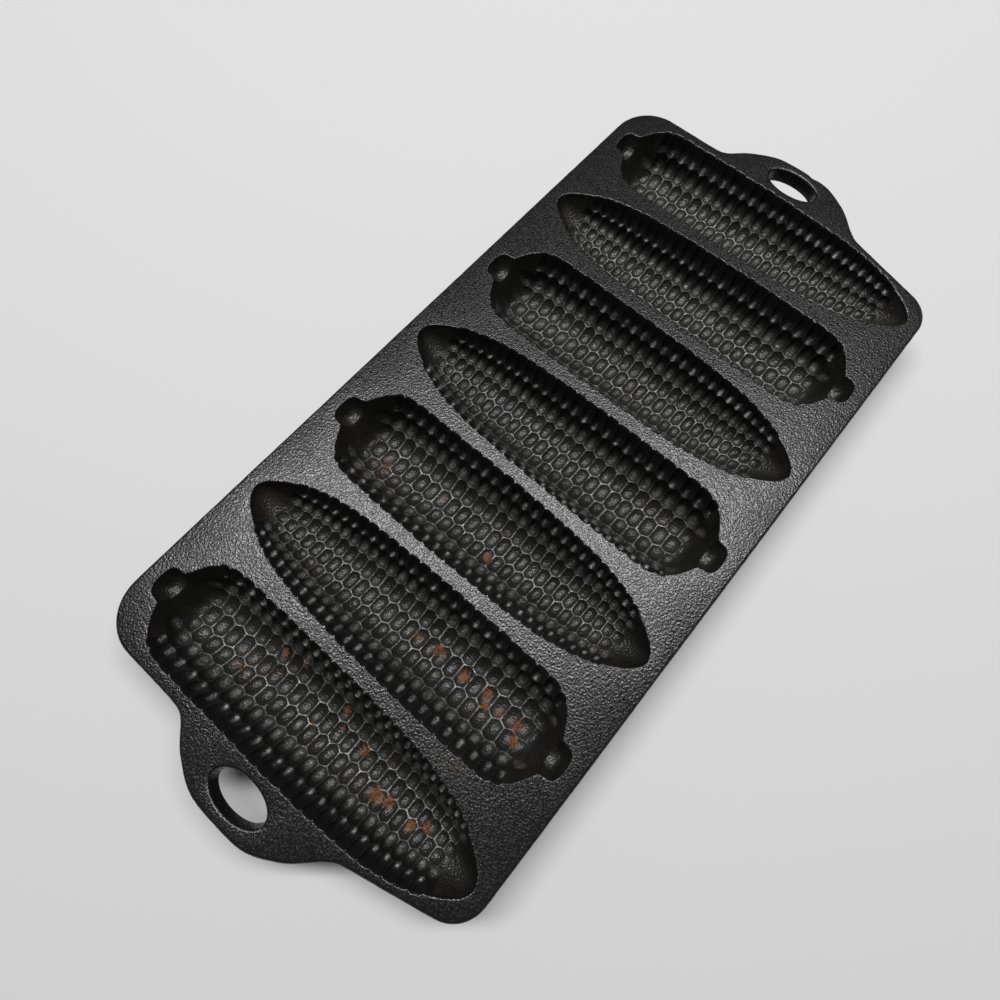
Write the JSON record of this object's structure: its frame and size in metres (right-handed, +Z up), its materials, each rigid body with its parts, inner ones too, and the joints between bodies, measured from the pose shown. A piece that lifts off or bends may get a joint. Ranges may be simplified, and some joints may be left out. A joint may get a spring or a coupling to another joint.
{
  "type": "corn stick pan",
  "caption": "Cast iron baking pan with a flat deck, side by side cups shaped like ears of corn, and an end handle with a hanging hole at each end.",
  "frame": {"origin": "centre of the pan in plan, on the surface that it stands on", "axes": "+X along the pan from one handle to the other, +Y along the cups towards the stem end of the end cups, +Z up out of the cups"},
  "size_m": [0.319, 0.1464, 0.022],
  "materials": {
    "deck_iron": "dull, finely pebbled as cast, dark grey with small bright points",
    "cup_iron": "seasoned, satin black, worn lighter on the ridges between kernels, with a few rust spots"
  },
  "bodies": {
    "root": {"deck": "deck_iron", "cup_1": "cup_iron", "cup_2": "cup_iron", "cup_3": "cup_iron", "cup_4": "cup_iron", "cup_5": "cup_iron", "cup_6": "cup_iron", "cup_7": "cup_iron", "handle_left": "deck_iron", "handle_right": "deck_iron"}
  },
  "joints": []
}
